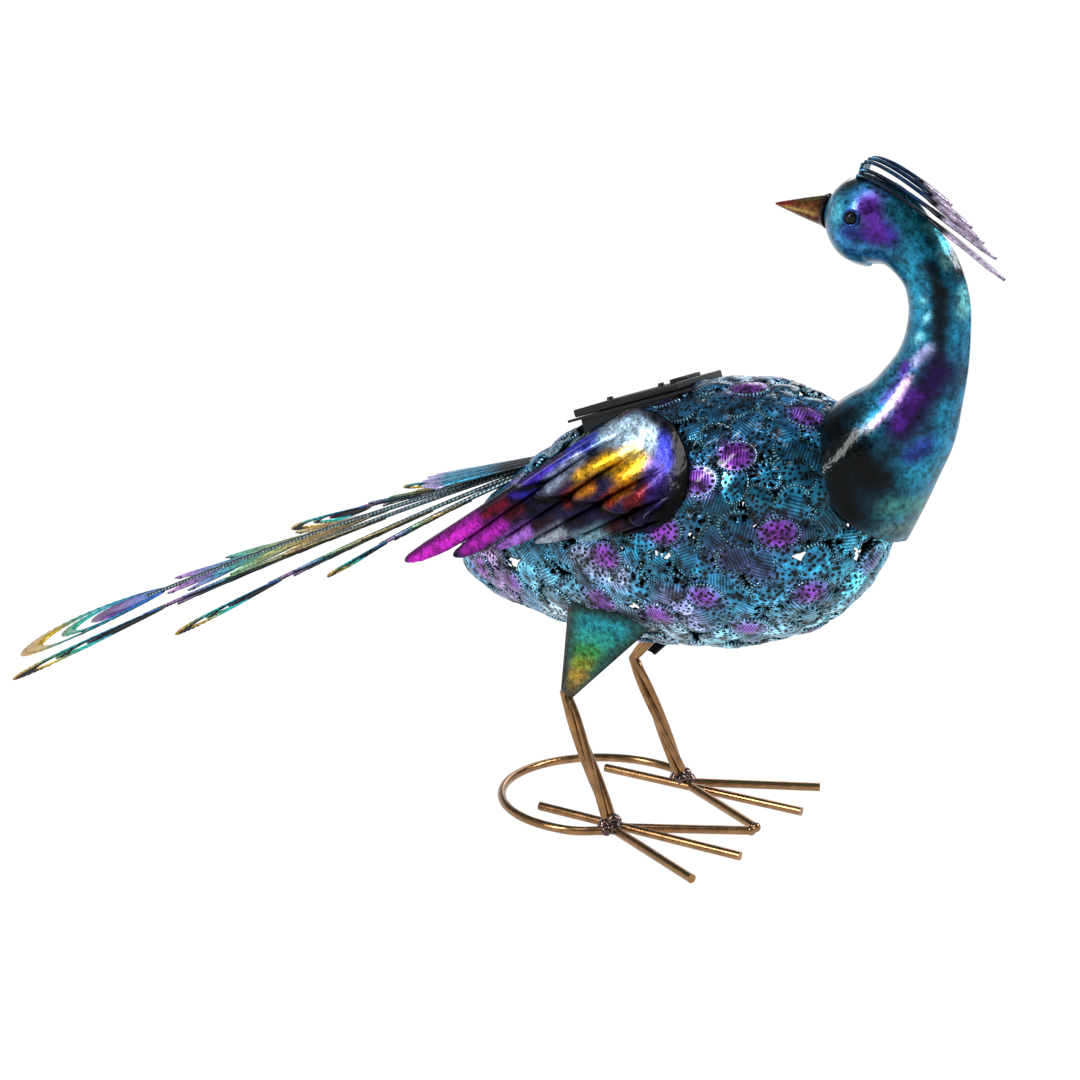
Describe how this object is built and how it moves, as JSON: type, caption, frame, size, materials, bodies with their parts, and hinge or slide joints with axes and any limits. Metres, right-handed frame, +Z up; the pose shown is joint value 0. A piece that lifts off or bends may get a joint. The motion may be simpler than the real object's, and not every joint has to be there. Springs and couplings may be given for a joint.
{
  "type": "peacock garden figurine",
  "caption": "Standing peacock of painted sheet metal and wire, looking back over its own back, with a pierced body and a swept tail.",
  "frame": {"origin": "centre of the overall box, at floor level under the feet", "axes": "+X towards the breast, the tail trails towards -X, +Y is the bird's left, +Z up"},
  "size_m": [0.5466, 0.1276, 0.2975],
  "materials": {
    "body_filigree": "pierced and stamped, blue and teal with violet ovals, satin",
    "neck_enamel": "sponged blue and teal over silver, high gloss",
    "beak_enamel": "red to gold, gloss",
    "eye_bead": "gloss black bead",
    "crest_enamel": "navy, pale lavender ends, satin",
    "wing_enamel": "violet, silver-blue, gold and red bands, gloss",
    "tray": "charcoal, satin",
    "panel": "near-black, gloss",
    "thigh_enamel": "airbrushed turquoise to gold to brown, satin",
    "bronze_wire": "antique bronze coat on steel wire, gloss",
    "tail_enamel": "teal, lavender and gold on charcoal, satin"
  },
  "bodies": {
    "root": {"body_shell": "body_filigree", "neck_and_head": "neck_enamel", "beak": "beak_enamel", "eye_right": "eye_bead", "eye_left": "eye_bead", "crest": "crest_enamel", "wing_right": "wing_enamel", "wing_left": "wing_enamel", "battery_tray": "tray", "solar_panel": "panel", "thigh_right": "thigh_enamel", "thigh_left": "thigh_enamel", "leg_right": "bronze_wire", "leg_left": "bronze_wire", "foot_right": "bronze_wire", "foot_left": "bronze_wire", "base_ring": "bronze_wire", "tail_cover": "tail_enamel", "tail_feather_long_left": "tail_enamel", "tail_feather_long_right": "tail_enamel", "tail_feather_middle_left": "tail_enamel", "tail_feather_middle_right": "tail_enamel", "tail_feather_short_left": "tail_enamel", "tail_feather_short_right": "tail_enamel"}
  },
  "joints": []
}
